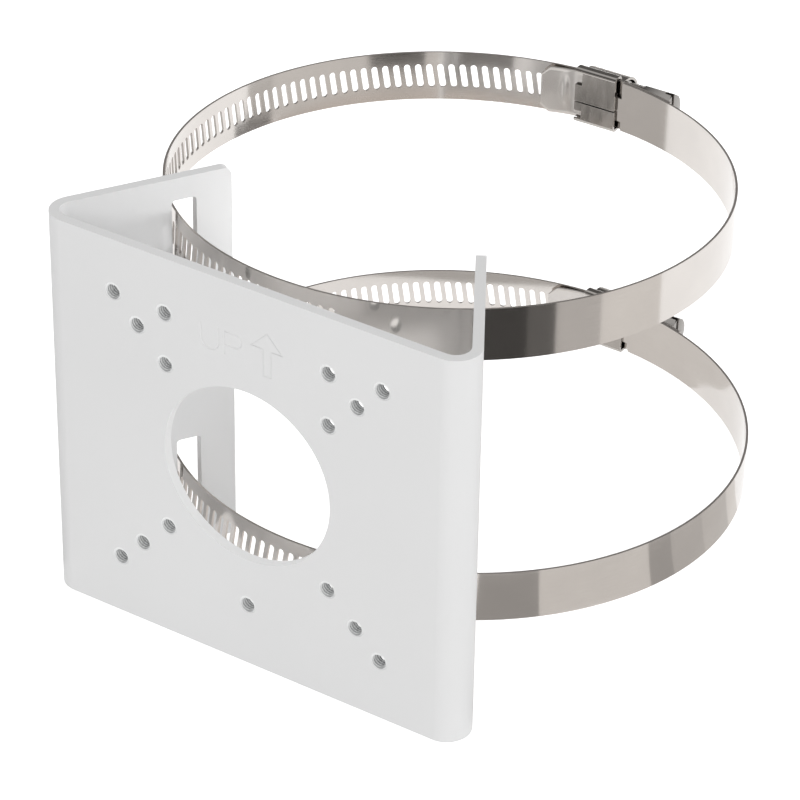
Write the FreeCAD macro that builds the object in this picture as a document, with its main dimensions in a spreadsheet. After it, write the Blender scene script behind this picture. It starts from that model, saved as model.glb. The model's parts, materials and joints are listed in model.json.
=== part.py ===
import FreeCAD, Part
import math
import os

import Sketcher

# Camera pole mount bracket: a folded sheet-metal plate whose two side flanges lean in
# towards the pole, and two worm-drive band clamps threaded through slots in the flanges.
# Frame: X to the right, Y from the front face towards the pole, Z up.
# The origin is the centre of the cable hole, on the plate's front face.

doc = FreeCAD.newDocument("camera_pole_mount_bracket")
sheet = doc.addObject("Spreadsheet::Sheet", "sizes")

DRIVING = [
    # Folded plate, seen from above as a wide shallow tray with leaning sides.
    ("corner_half", 69.7),           # half the width at the outer corners, before bending
    ("plate_top", 56.4),             # from the cable hole's centre up to the top edge
    ("plate_bottom", 58.9),          # from the cable hole's centre down to the bottom edge
    ("sheet_thick", 2.8),
    ("bend_radius", 4.0),            # inside the bend
    ("fold_angle", 58.5),            # between the plate and a flange, on the pole side
    ("flange_length", 57.0),         # outer face, from the unbent corner to the free edge
    ("flange_corner", 2.5),
    ("cable_hole_radius", 25.7),
    # Tapped holes for the cameras and boxes that the plate carries.
    ("narrow_pitch", 50.0),          # the innermost square of four
    ("middle_step", 17.2),           # how much wider the next square is
    ("wide_step", 14.8),             # and the outermost one
    ("pair_height", 40.2),
    ("low_hole_drop", 40.0),
    ("thread_radius", 2.1),
    ("thread_chamfer", 0.5),
    # Slots in the flanges, where the bands pass.
    ("slot_start", 40.1),            # along the flange, from the unbent corner
    ("slot_width", 6.9),
    ("slot_height", 27.5),
    ("high_slot_margin", 6.5),       # from the plate's top edge
    ("low_slot_margin", 7.0),        # from its bottom edge
    ("slot_corner", 1.0),
    # Clamp band: one strip, plain on one side, perforated on the other.
    ("band_width", 14.5),
    ("band_thick", 0.65),
    ("band_slot_gap", 0.6),          # between the band and the edge of a flange slot
    ("lap_gap", 0.15),               # between layers that lie on each other
    ("junction_bearing", 285.0),     # where the plain arc meets the perforated arc
    ("plain_end_bearing", 90.8),
    ("tail_bearing", 70.5),
    ("perforation_pitch", 3.175),
    ("perforation_length", 7.2),
    ("perforation_width", 1.8),
    ("perforation_lean", 9.5),
    ("perforation_last", 281.0),
    ("end_notch_bearing", 85.2),
    ("end_notch_length", 4.0),
    ("end_notch_high", 2.4),         # the neck between the notches reaches up to here
    ("end_notch_low", 4.6),          # and down to here
    # Screw housing: a strip folded round both edges of the band, arched over the screw.
    ("housing_length", 13.0),
    ("housing_wall", 0.8),
    ("housing_side_gap", 0.3),
    ("housing_fold", 0.45),
    ("barrel_gap", 0.5),
    ("seam_gap", 0.35),
    ("seam_drop", 1.9),
    # Saddle: a tongue under the band beside the housing.
    ("saddle_width", 14.0),
    ("saddle_start_bearing", 91.3),
    ("saddle_end_bearing", 103.0),
    ("saddle_corner", 2.4),
    # Worm screw.
    ("worm_radius", 4.6),
    ("worm_gap", 0.1),
    ("worm_length", 11.6),
    ("neck_radius", 3.4),
    ("collar_gap", 0.3),
    ("collar_radius", 4.4),
    ("collar_length", 4.4),
    ("groove_length", 0.6),
    ("head_across", 9.0),
    ("head_length", 9.2),
    ("head_chamfer", 0.7),
    ("driver_slot_width", 1.3),
    ("driver_slot_depth", 2.2),
    # Each clamp's own size and place.
    ("upper_radius", 76.4),          # outside the perforated arc
    ("upper_band_drop", 2.0),        # from the slot's top edge down to the band
    ("upper_droop", 2.9),            # the back of the ring hangs lower
    ("upper_side_lean", 1.3),
    ("upper_first_hole", 72.6),      # bearing of the first perforation, by the tail
    ("lower_radius", 81.2),
    ("lower_band_drop", 7.2),
    ("lower_droop", 2.3),
    ("lower_side_lean", 0.2),
    ("lower_first_hole", 73.1),
    ("housing_bearing", 89.7),       # of the housing round the ring, from X towards Y
]

DERIVED = [
    ("plate_height", "plate_top + plate_bottom"),
    ("tip_outer_x", "corner_half - flange_length * cos(fold_angle)"),
    ("tip_outer_y", "flange_length * sin(fold_angle)"),
    ("tip_inner_x", "tip_outer_x - sheet_thick * sin(fold_angle)"),
    ("tip_inner_y", "tip_outer_y - sheet_thick * cos(fold_angle)"),
    ("inner_corner_x", "corner_half - sheet_thick / tan(fold_angle / 2)"),
    ("bend_outer", "bend_radius + sheet_thick"),
    ("narrow_half", "narrow_pitch / 2"),
    ("middle_half", "narrow_half + middle_step / 2"),
    ("wide_half", "middle_half + wide_step / 2"),
    ("slot_cut", "3 * sheet_thick"),
    ("slot_end", "slot_start + slot_width"),
    ("slot_start_in", "slot_start + slot_corner"),
    ("slot_end_in", "slot_end - slot_corner"),
    ("high_slot_top", "plate_top - high_slot_margin"),
    ("high_slot_bottom", "high_slot_top - slot_height"),
    ("low_slot_bottom", "low_slot_margin - plate_bottom"),
    ("low_slot_top", "low_slot_bottom + slot_height"),
    ("high_slot_top_in", "high_slot_top - slot_corner"),
    ("high_slot_bottom_in", "high_slot_bottom + slot_corner"),
    ("low_slot_top_in", "low_slot_top - slot_corner"),
    ("low_slot_bottom_in", "low_slot_bottom + slot_corner"),
    # The two ends of a slot's front edge that a band comes closest to.
    ("slot_edge_outer_x", "corner_half - slot_start * cos(fold_angle)"),
    ("slot_edge_outer_y", "slot_start * sin(fold_angle)"),
    ("slot_edge_inner_x", "slot_edge_outer_x - sheet_thick * sin(fold_angle)"),
    ("slot_edge_inner_y", "slot_edge_outer_y - sheet_thick * cos(fold_angle)"),
    ("band_half", "band_width / 2"),
    ("lap_step", "band_thick + lap_gap"),
    ("arc_shift", "lap_step / (1 - cos(junction_bearing - 90))"),
    ("perforated_sweep", "junction_bearing - tail_bearing"),
    ("plain_sweep", "360 + plain_end_bearing - junction_bearing"),
    ("perforation_cut", "1 + band_thick + lap_gap / 3"),
    ("perforation_end", "perforation_length / 2"),
    ("perforation_side", "perforation_width / 2"),
    ("end_notch_half", "end_notch_length / 2"),
    ("end_notch_edge", "band_half + 1"),
    ("end_notch_cut", "1 + band_thick + lap_gap / 3"),
    ("housing_half_in", "band_half + housing_side_gap"),
    ("housing_half_out", "housing_half_in + housing_wall"),
    ("housing_fold_out", "housing_fold + housing_wall"),
    ("barrel_inner", "worm_radius + barrel_gap"),
    ("barrel_outer", "barrel_inner + housing_wall"),
    ("seam_low", "seam_drop + seam_gap / 2"),
    ("seam_high", "seam_drop - seam_gap / 2"),
    ("saddle_half", "saddle_width / 2"),
    ("saddle_sweep", "saddle_end_bearing - saddle_start_bearing"),
    ("axis_rise", "worm_radius + worm_gap"),
    ("worm_half", "worm_length / 2"),
    ("collar_start", "housing_length / 2 + collar_gap"),
    ("collar_end", "collar_start + collar_length"),
    ("head_start", "collar_end + groove_length"),
    ("head_end", "head_start + head_length"),
    ("head_half", "head_across / 2"),
    ("head_side_half", "head_half * tan(30)"),
    ("head_corner", "head_half / cos(30)"),
    ("head_end_in", "head_end - head_chamfer"),
    ("head_corner_out", "head_corner + head_chamfer"),
    ("driver_slot_half", "driver_slot_width / 2"),
]

# Two corners of a leaning perforation; the other two are the same ones turned half round.
PERFORATION_CORNERS = [
    ("hole_left", "-perforation_side", "perforation_end"),
    ("hole_right", "perforation_side", "perforation_end"),
]
for name, across, along in PERFORATION_CORNERS:
    DERIVED += [
        (name + "_x", across + " * cos(perforation_lean) + " + along + " * sin(perforation_lean)"),
        (name + "_y", along + " * cos(perforation_lean) - (" + across + ") * sin(perforation_lean)"),
    ]

for side in ("upper", "lower"):
    slot_top = {"upper": "high_slot_top", "lower": "low_slot_top"}[side]
    DERIVED += [
        (side + "_inner", side + "_radius - band_thick"),
        (side + "_plain_inner", side + "_inner - lap_step"),
        (side + "_saddle_outer", side + "_plain_inner + band_thick"),
        (side + "_flap_outer", "sqrt(" + side + "_plain_inner ^ 2 - (housing_length / 2) ^ 2) - lap_gap"),
        (side + "_flap_inner", side + "_flap_outer - housing_wall"),
        (side + "_shoulder_inner", side + "_radius + lap_gap"),
        (side + "_shoulder_outer", side + "_shoulder_inner + housing_wall"),
        (side + "_axis", side + "_radius + axis_rise"),
        (side + "_step", "perforation_pitch / " + side + "_radius * 180 / pi"),
        (side + "_count", "floor((perforation_last - " + side + "_first_hole) / " + side + "_step) + 1"),
        (side + "_reach", side + "_radius + band_slot_gap"),
        (side + "_centre_y", "max(slot_edge_outer_y + sqrt(" + side + "_reach ^ 2 - slot_edge_outer_x ^ 2);"
                             " slot_edge_inner_y + sqrt(" + side + "_reach ^ 2 - slot_edge_inner_x ^ 2))"),
        (side + "_centre_z", slot_top + " - " + side + "_band_drop - band_half"
                             " - sin(" + side + "_droop) * (" + side + "_centre_y - slot_edge_outer_y)"),
    ]

row = 0
for name, value in DRIVING:
    row += 1
    sheet.set("A%d" % row, str(value))
    sheet.setAlias("A%d" % row, name)
for name, formula in DERIVED:
    row += 1
    sheet.set("A%d" % row, "=" + formula)
    sheet.setAlias("A%d" % row, name)
doc.recompute()


def cell(name):
    """Value of a named cell; a leading minus turns its sign and "0" is the axis itself."""
    if name == "0":
        return 0.0
    if name.startswith("-"):
        return -cell(name[1:])
    return float(sheet.get(name))


def bound(name):
    """Expression for a named cell, with its sign."""
    return "-sizes." + name[1:] if name.startswith("-") else "sizes." + name


def new_body(name):
    body = doc.addObject("PartDesign::Body", name)
    body.Label = name
    return body


def origin_feature(body, role):
    return [item for item in body.Origin.OriginFeatures if item.Role == role][0]


def new_sketch(body, name, plane, offset=None):
    sketch = body.newObject("Sketcher::SketchObject", name)
    sketch.AttachmentSupport = [(origin_feature(body, plane), "")]
    sketch.MapMode = "FlatFace"
    if offset is not None:
        sketch.AttachmentOffset = offset
    return sketch


def turned(angle, along=0.0, out=0.0):
    """Offset of an upright sketch plane: turned about Z, moved along its own X and normal."""
    turn = FreeCAD.Rotation(FreeCAD.Vector(0, 1, 0), angle)
    return FreeCAD.Placement(turn.multVec(FreeCAD.Vector(along, 0, out)), turn)


def pin_point(sketch, geometry, position, x, y):
    """Hold one point of a sketch at two named cells."""
    for kind, name, axis in (("DistanceX", x, -2), ("DistanceY", y, -1)):
        if name == "0":
            sketch.addConstraint(Sketcher.Constraint("PointOnObject", geometry, position, axis))
        else:
            rule = Sketcher.Constraint(kind, -1, 1, geometry, position, cell(name))
            index = sketch.addConstraint(rule)
            sketch.setExpression("Constraints[%d]" % index, bound(name))


def outline(sketch, corners, arcs=None):
    """Closed outline through named corners.

    An entry in arcs bends the edge that leaves that corner: it gives the turn, +1 for
    counterclockwise, and the centre's named x or y.
    """
    arcs = arcs or {}
    points = [FreeCAD.Vector(cell(x), cell(y), 0) for x, y in corners]
    edges = []
    for i, start in enumerate(points):
        end = points[(i + 1) % len(points)]
        if i not in arcs:
            edges.append((sketch.addGeometry(Part.LineSegment(start, end), False), 1, 2))
            continue
        turn, centre_x, centre_y = arcs[i]
        centre = FreeCAD.Vector(cell(centre_x), cell(centre_y), 0)
        first, last = (start, end) if turn > 0 else (end, start)
        angles = [math.atan2(p.y - centre.y, p.x - centre.x) for p in (first, last)]
        circle = Part.Circle(centre, FreeCAD.Vector(0, 0, 1), (start - centre).Length)
        arc = sketch.addGeometry(Part.ArcOfCircle(circle, angles[0], angles[1]), False)
        edges.append((arc, 1, 2) if turn > 0 else (arc, 2, 1))
    for i, (geometry, first, last) in enumerate(edges):
        following, next_first, _ = edges[(i + 1) % len(edges)]
        sketch.addConstraint(Sketcher.Constraint("Coincident", geometry, last, following, next_first))
        pin_point(sketch, geometry, first, corners[i][0], corners[i][1])
        if i in arcs:
            hold_centre(sketch, geometry, points[i], points[(i + 1) % len(points)], arcs[i])


def hold_centre(sketch, geometry, start, end, arc):
    """Hold an arc's centre across the line between its ends, which leaves it one freedom."""
    upright = abs(end.y - start.y) > abs(end.x - start.x)
    kind, name, axis = ("DistanceX", arc[1], -2) if upright else ("DistanceY", arc[2], -1)
    if name == "0":
        sketch.addConstraint(Sketcher.Constraint("PointOnObject", geometry, 3, axis))
        return
    index = sketch.addConstraint(Sketcher.Constraint(kind, -1, 1, geometry, 3, cell(name)))
    sketch.setExpression("Constraints[%d]" % index, bound(name))


def rounded_window(sketch, left, right, low, high):
    """Rectangle with rounded corners between named cells; a cell's own name plus _in is
    where its straight side ends."""
    corners = [
        (left, high + "_in"), (left + "_in", high), (right + "_in", high), (right, high + "_in"),
        (right, low + "_in"), (right + "_in", low), (left + "_in", low), (left, low + "_in"),
    ]
    arcs = {
        0: (-1, left + "_in", high + "_in"), 2: (-1, right + "_in", high + "_in"),
        4: (-1, right + "_in", low + "_in"), 6: (-1, left + "_in", low + "_in"),
    }
    outline(sketch, corners, arcs)


def round_hole(sketch, x, y, radius):
    centre = FreeCAD.Vector(cell(x), cell(y), 0)
    circle = Part.Circle(centre, FreeCAD.Vector(0, 0, 1), cell(radius))
    geometry = sketch.addGeometry(circle, False)
    index = sketch.addConstraint(Sketcher.Constraint("Radius", geometry, cell(radius)))
    sketch.setExpression("Constraints[%d]" % index, bound(radius))
    pin_point(sketch, geometry, 3, x, y)


def pad(body, name, profile, length):
    feature = body.newObject("PartDesign::Pad", name)
    feature.Profile = profile
    feature.setExpression("Length", bound(length))
    return feature


def pocket(body, name, profile, length, both_ways=False):
    feature = body.newObject("PartDesign::Pocket", name)
    feature.Profile = profile
    if both_ways:
        feature.SideType = "Symmetric"
    feature.setExpression("Length", bound(length))
    return feature


def revolve(body, name, profile, axis, sweep, back=False):
    feature = body.newObject("PartDesign::Revolution", name)
    feature.Profile = profile
    feature.ReferenceAxis = (profile, [axis])
    feature.setExpression("Angle", bound(sweep))
    feature.Reversed = back
    return feature


def dress(body, name, kind, base, wanted, size):
    """Fillet or chamfer on every edge of the base feature that the test picks."""
    doc.recompute()
    names = ["Edge%d" % (i + 1) for i, edge in enumerate(base.Shape.Edges) if wanted(edge)]
    feature = body.newObject("PartDesign::" + kind, name)
    feature.Base = (base, names)
    feature.setExpression("Radius" if kind == "Fillet" else "Size", bound(size))
    return feature


def middle(edge):
    return edge.valueAt((edge.FirstParameter + edge.LastParameter) / 2)


def near(value, target):
    return abs(value - target) < 0.02


# Mounting bracket: one blank of sheet steel, punched, then folded along two upright lines.
bracket = new_body("mounting_bracket")
plan = new_sketch(bracket, "bracket_plan", "XY_Plane")
outline(plan, [
    ("-corner_half", "0"), ("corner_half", "0"),
    ("tip_outer_x", "tip_outer_y"), ("tip_inner_x", "tip_inner_y"),
    ("inner_corner_x", "sheet_thick"), ("-inner_corner_x", "sheet_thick"),
    ("-tip_inner_x", "tip_inner_y"), ("-tip_outer_x", "tip_outer_y"),
])
plan.setExpression("AttachmentOffset.Base.z", "-sizes.plate_bottom")
folded = pad(bracket, "folded_sheet", plan, "plate_height")


def upright_at(edge, x, y):
    point = middle(edge)
    return near(edge.Length, cell("plate_height")) and near(abs(point.x), x) and near(point.y, y)


outer_bends = dress(bracket, "outer_bends", "Fillet", folded,
                    lambda edge: upright_at(edge, cell("corner_half"), 0.0), "bend_outer")
inner_bends = dress(bracket, "inner_bends", "Fillet", outer_bends,
                    lambda edge: upright_at(edge, cell("inner_corner_x"), cell("sheet_thick")),
                    "bend_radius")


def tip_corner(edge):
    point = middle(edge)
    return (near(edge.Length, cell("sheet_thick"))
            and near(point.y, (cell("tip_outer_y") + cell("tip_inner_y")) / 2))


tip_corners = dress(bracket, "flange_corners", "Fillet", inner_bends, tip_corner, "flange_corner")

# One flange's pair of band slots, cut square to the flange and repeated on the other side.
flange_face = turned(180 - cell("fold_angle"))
flange_face.Base = FreeCAD.Vector(cell("corner_half"), 0, 0)
slots_plan = new_sketch(bracket, "band_slots_plan", "XZ_Plane", flange_face)
rounded_window(slots_plan, "slot_start", "slot_end", "high_slot_bottom", "high_slot_top")
rounded_window(slots_plan, "slot_start", "slot_end", "low_slot_bottom", "low_slot_top")
band_slots = pocket(bracket, "band_slots", slots_plan, "slot_cut", both_ways=True)
both_slots = bracket.newObject("PartDesign::Mirrored", "band_slots_mirrored")
both_slots.Originals = [band_slots]
both_slots.MirrorPlane = (origin_feature(bracket, "YZ_Plane"), [""])
bracket.Tip = both_slots

# Cable hole and tapped holes, cut from the front face through the plate alone.
holes_plan = new_sketch(bracket, "holes_plan", "XZ_Plane")
round_hole(holes_plan, "0", "0", "cable_hole_radius")
round_hole(holes_plan, "0", "-low_hole_drop", "thread_radius")
for half in ("wide_half", "middle_half", "narrow_half"):
    for sign_x in ("", "-"):
        for sign_z in ("", "-"):
            round_hole(holes_plan, sign_x + half, sign_z + half, "thread_radius")
for sign_x in ("", "-"):
    round_hole(holes_plan, sign_x + "narrow_half", "pair_height", "thread_radius")
holes = pocket(bracket, "holes", holes_plan, "sheet_thick")
bracket.Tip = holes


def thread_mouth(edge):
    point = middle(edge)
    return near(point.y, 0) and near(edge.Length, 2 * math.pi * cell("thread_radius"))


bracket.Tip = dress(bracket, "thread_mouths", "Chamfer", holes, thread_mouth, "thread_chamfer")


def clamp_place(side):
    """Placement of a clamp's ring: its centre, and its plane drooping towards the back."""
    centre = FreeCAD.Vector(0, cell(side + "_centre_y"), cell(side + "_centre_z"))
    droop = FreeCAD.Rotation(FreeCAD.Vector(1, 0, 0), -cell(side + "_droop"))
    lean = FreeCAD.Rotation(FreeCAD.Vector(0, 1, 0), -cell(side + "_side_lean"))
    bearing = FreeCAD.Rotation(FreeCAD.Vector(0, 0, 1), cell("housing_bearing") - 90)
    return FreeCAD.Placement(centre, droop.multiply(lean).multiply(bearing))


def make_band(side):
    """One strip of spring steel. The perforated arc carries on outside the plain end as a
    tail, so the two arcs meet where they are tangent, away from the housing."""
    body = new_body(side + "_band")
    section = new_sketch(body, side + "_band_section", "XZ_Plane", turned(cell("junction_bearing")))
    outline(section, [
        (side + "_inner", "-band_half"), (side + "_radius", "-band_half"),
        (side + "_radius", "band_half"), (side + "_inner", "band_half"),
    ])
    ends = [FreeCAD.Vector(cell("arc_shift"), y * cell("band_half"), 0) for y in (-1, 1)]
    axis = section.addGeometry(Part.LineSegment(ends[0], ends[1]), True)
    pin_point(section, axis, 1, "arc_shift", "-band_half")
    pin_point(section, axis, 2, "arc_shift", "band_half")
    revolve(body, side + "_perforated_arc", section, "V_Axis", "perforated_sweep", back=True)
    revolve(body, side + "_plain_arc", section, "Axis0", "plain_sweep")

    # Inclined perforations that the worm's thread runs in, cut through the outer layer alone.
    outside = cell(side + "_radius") + 1
    hole_plan = new_sketch(body, side + "_perforation_plan", "XZ_Plane",
                           turned(cell(side + "_first_hole") + 90, 0, outside))
    corners = [(name + "_x", name + "_y") for name, _, _ in PERFORATION_CORNERS]
    outline(hole_plan, corners + [("-" + x, "-" + y) for x, y in corners])
    perforation = pocket(body, side + "_perforation", hole_plan, "perforation_cut")
    row_of_holes = body.newObject("PartDesign::PolarPattern", side + "_perforations")
    row_of_holes.Originals = [perforation]
    row_of_holes.Axis = (origin_feature(body, "Z_Axis"), [""])
    row_of_holes.Mode = "Spacing"
    row_of_holes.setExpression("Offset", bound(side + "_step"))
    row_of_holes.setExpression("Occurrences", bound(side + "_count"))
    body.Tip = row_of_holes

    # Two notches that leave a neck where the plain end enters the housing.
    inside = cell(side + "_plain_inner") - 1
    notch_plan = new_sketch(body, side + "_notch_plan", "XZ_Plane",
                            turned(cell("end_notch_bearing") - 90, 0, -inside))
    for low, high in (("end_notch_high", "end_notch_edge"), ("-end_notch_edge", "-end_notch_low")):
        outline(notch_plan, [
            ("-end_notch_half", low), ("end_notch_half", low),
            ("end_notch_half", high), ("-end_notch_half", high),
        ])
    body.Tip = pocket(body, side + "_end_notches", notch_plan, "end_notch_cut")
    return body


def straight_edge(edge, radius, height):
    """Whether an edge runs along the housing at this distance from the ring's centre."""
    point = middle(edge)
    return near(point.y, radius) and near(abs(point.z), height) and near(point.x, 0)


def make_housing(side):
    """Folded strip: two flaps meet in a seam under the band, the sides wrap its edges, and
    the middle arches over the screw."""
    body = new_body(side + "_housing")
    section = new_sketch(body, side + "_housing_section", "YZ_Plane")
    flap_in, flap_out = side + "_flap_inner", side + "_flap_outer"
    under, top, axis = side + "_shoulder_inner", side + "_shoulder_outer", side + "_axis"
    outline(section, [
        (flap_in, "-seam_high"), (flap_in, "housing_half_out"), (top, "housing_half_out"),
        (top, "barrel_outer"), (axis, "barrel_outer"), (axis, "-barrel_outer"),
        (top, "-barrel_outer"), (top, "-housing_half_out"), (flap_in, "-housing_half_out"),
        (flap_in, "-seam_low"), (flap_out, "-seam_low"), (flap_out, "-housing_half_in"),
        (under, "-housing_half_in"), (under, "-barrel_inner"), (axis, "-barrel_inner"),
        (axis, "barrel_inner"), (under, "barrel_inner"), (under, "housing_half_in"),
        (flap_out, "housing_half_in"), (flap_out, "-seam_high"),
    ], {4: (-1, axis, "0"), 14: (1, axis, "0")})
    strip = pad(body, side + "_strip", section, "housing_length")
    strip.SideType = "Symmetric"

    def outer_fold(edge):
        return any(straight_edge(edge, cell(name), cell("housing_half_out")) for name in (flap_in, top))

    def inner_fold(edge):
        return any(straight_edge(edge, cell(name), cell("housing_half_in")) for name in (flap_out, under))

    outer = dress(body, side + "_outer_folds", "Fillet", strip, outer_fold, "housing_fold_out")
    body.Tip = dress(body, side + "_inner_folds", "Fillet", outer, inner_fold, "housing_fold")
    return body


def make_saddle(side):
    """Tongue between the flaps and the perforated arc, with its free corners cut off."""
    body = new_body(side + "_saddle")
    section = new_sketch(body, side + "_saddle_section", "XZ_Plane", turned(cell("saddle_start_bearing")))
    outline(section, [
        (side + "_plain_inner", "-saddle_half"), (side + "_saddle_outer", "-saddle_half"),
        (side + "_saddle_outer", "saddle_half"), (side + "_plain_inner", "saddle_half"),
    ])
    strip = revolve(body, side + "_saddle_strip", section, "V_Axis", "saddle_sweep")

    def free_corner(edge):
        point = middle(edge)
        bearing = math.degrees(math.atan2(point.y, point.x))
        return near(edge.Length, cell("band_thick")) and near(bearing, cell("saddle_end_bearing"))

    body.Tip = dress(body, side + "_saddle_corners", "Chamfer", strip, free_corner, "saddle_corner")
    return body


def make_screw(side):
    """Worm screw turned from one bar: worm, neck, collar and a slotted hexagon head. Its
    own Z axis runs towards the head."""
    body = new_body(side + "_worm_screw")
    profile = new_sketch(body, side + "_screw_profile", "XZ_Plane")
    outline(profile, [
        ("0", "-worm_half"), ("worm_radius", "-worm_half"), ("worm_radius", "worm_half"),
        ("neck_radius", "worm_half"), ("neck_radius", "collar_start"),
        ("collar_radius", "collar_start"), ("collar_radius", "collar_end"),
        ("neck_radius", "collar_end"), ("neck_radius", "head_end_in"), ("0", "head_end_in"),
    ])
    turning = body.newObject("PartDesign::Revolution", side + "_screw_turning")
    turning.Profile = profile
    turning.ReferenceAxis = (profile, ["V_Axis"])
    turning.Angle = 360
    raised = FreeCAD.Placement(FreeCAD.Vector(0, 0, cell("head_start")), FreeCAD.Rotation())
    hexagon = new_sketch(body, side + "_head_plan", "XY_Plane", raised)
    hexagon.setExpression("AttachmentOffset.Base.z", bound("head_start"))
    outline(hexagon, [
        ("head_corner", "0"), ("head_side_half", "head_half"), ("-head_side_half", "head_half"),
        ("-head_corner", "0"), ("-head_side_half", "-head_half"), ("head_side_half", "-head_half"),
    ])
    pad(body, side + "_head", hexagon, "head_length")
    doc.recompute()

    # The hexagon's corners are turned down to a cone at the free end.
    bevel = new_sketch(body, side + "_head_bevel", "XZ_Plane")
    outline(bevel, [
        ("head_half", "head_end"), ("head_corner_out", "head_end_in"), ("head_corner_out", "head_end"),
    ])
    groove = body.newObject("PartDesign::Groove", side + "_head_groove")
    groove.Profile = bevel
    groove.ReferenceAxis = (bevel, ["V_Axis"])
    groove.Angle = 360
    top = FreeCAD.Placement(FreeCAD.Vector(0, 0, cell("head_end")), FreeCAD.Rotation())
    slot_plan = new_sketch(body, side + "_driver_slot_plan", "XY_Plane", top)
    slot_plan.setExpression("AttachmentOffset.Base.z", bound("head_end"))
    outline(slot_plan, [
        ("-head_corner_out", "-driver_slot_half"), ("head_corner_out", "-driver_slot_half"),
        ("head_corner_out", "driver_slot_half"), ("-head_corner_out", "driver_slot_half"),
    ])
    body.Tip = pocket(body, side + "_driver_slot", slot_plan, "driver_slot_depth")
    return body


for side in ("upper", "lower"):
    ring = clamp_place(side)
    for piece in (make_band(side), make_housing(side), make_saddle(side)):
        piece.Placement = ring
    screw_turn = FreeCAD.Rotation(FreeCAD.Vector(0, 1, 0), 90)
    seat = FreeCAD.Placement(FreeCAD.Vector(0, cell(side + "_axis"), 0), screw_turn)
    make_screw(side).Placement = ring.multiply(seat)

doc.recompute()

for item in doc.Objects:
    if "Invalid" in item.State or "Error" in item.State:
        raise RuntimeError("%s did not build: %s" % (item.Name, item.State))

os.makedirs("parts", exist_ok=True)
for item in doc.Objects:
    if item.TypeId != "PartDesign::Body":
        continue
    if item.Shape.isNull() or not item.Shape.isValid():
        raise RuntimeError("%s has no sound shape" % item.Label)
    item.Shape.exportStep(os.path.join("parts", item.Label + ".step"))
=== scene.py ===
import json
import math

import bmesh
import bpy
from mathutils import Matrix, Vector


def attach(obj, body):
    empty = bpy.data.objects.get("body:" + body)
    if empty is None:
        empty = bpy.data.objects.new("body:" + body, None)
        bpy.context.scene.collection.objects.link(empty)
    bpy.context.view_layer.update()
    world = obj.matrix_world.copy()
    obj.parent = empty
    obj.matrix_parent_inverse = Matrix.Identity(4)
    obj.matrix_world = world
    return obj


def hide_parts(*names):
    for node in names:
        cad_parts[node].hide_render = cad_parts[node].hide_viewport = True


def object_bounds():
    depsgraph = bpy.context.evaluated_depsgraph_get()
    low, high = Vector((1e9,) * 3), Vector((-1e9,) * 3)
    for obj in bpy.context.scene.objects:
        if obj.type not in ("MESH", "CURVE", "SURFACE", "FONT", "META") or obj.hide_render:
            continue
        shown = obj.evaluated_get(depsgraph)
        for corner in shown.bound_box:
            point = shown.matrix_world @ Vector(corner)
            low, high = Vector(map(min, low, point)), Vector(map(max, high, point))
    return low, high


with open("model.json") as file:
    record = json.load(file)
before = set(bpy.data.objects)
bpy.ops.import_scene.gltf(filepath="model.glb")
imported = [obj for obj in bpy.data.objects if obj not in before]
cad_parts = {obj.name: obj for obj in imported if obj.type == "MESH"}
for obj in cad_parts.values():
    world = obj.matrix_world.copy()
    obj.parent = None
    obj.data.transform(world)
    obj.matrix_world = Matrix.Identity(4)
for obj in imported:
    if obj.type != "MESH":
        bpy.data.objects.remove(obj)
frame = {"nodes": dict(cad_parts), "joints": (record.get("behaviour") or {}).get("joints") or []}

cad_low, cad_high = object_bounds()
nodes = frame["nodes"]
joints = {joint["name"]: joint for joint in frame["joints"]}
MM = 0.001

# The studio.
# A pale seamless floor under the bracket, an even white room, and three soft lamps: a wide
# one beside the camera, one behind the clamps and a small one behind the plate. The camera
# stands where the photographer stood.
bearing = math.radians(33.027)
height = math.radians(32.981)
roll = math.radians(0.914)
distance = 971.42 * MM
aim_right = 39.097 * MM
aim_up = 19.56 * MM
sensor_mm = 36
focal_px = 3823.6
picture_px = 800
view = Vector((-math.sin(bearing) * math.cos(height), math.cos(bearing) * math.cos(height),
               -math.sin(height)))
level_right = Vector((math.cos(bearing), math.sin(bearing), 0))
level_up = level_right.cross(view)
right = math.cos(roll) * level_right + math.sin(roll) * level_up
up = -math.sin(roll) * level_right + math.cos(roll) * level_up
stand = -view * distance + right * aim_right + up * aim_up
camera_data = bpy.data.cameras.new("camera")
camera_data.sensor_width = sensor_mm
camera_data.lens = sensor_mm * focal_px / picture_px
camera_data.clip_start = 0.05


def placed(name, data):
    """A new object in the scene that holds this data."""
    item = bpy.data.objects.new(name, data)
    bpy.context.scene.collection.objects.link(item)
    return item


camera = placed("camera", camera_data)
turn = Matrix((right, up, -view)).transposed()
camera.matrix_world = Matrix.Translation(stand) @ turn.to_4x4()
bpy.context.scene.camera = camera
bpy.context.scene.view_settings.view_transform = "Standard"


def soft_lamp(name, place, size, power, target=(0.0, 0.06, 0.0)):
    """A round lamp, sizes and places in metres, that shines from its place to its target."""
    data = bpy.data.lights.new(name, "AREA")
    data.shape = "DISK"
    data.size = size
    data.energy = power
    lamp = placed(name, data)
    lamp.location = place
    lamp.rotation_euler = (Vector(target) - Vector(place)).to_track_quat("-Z", "Y").to_euler()
    # The steel mirrors the room, the floor and the painted reflection cards on it alone; a lamp's disk
    # would glare.
    lamp.visible_glossy = False
    lamp.visible_camera = False


soft_lamp("key_lamp", (1.17, -0.81, 0.75), 0.9, 6.0)
soft_lamp("rim_lamp", (-0.55, 1.4, 0.2), 0.45, 11.0)
soft_lamp("fill_lamp", (0.018, 0.067, 0.045), 0.036, 0.018, target=(-0.055, 0.025, 0.02))

world = bpy.data.worlds.new("white_room")
bpy.context.scene.world = world
world.use_nodes = True
tree = world.node_tree
tree.nodes.clear()
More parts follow.
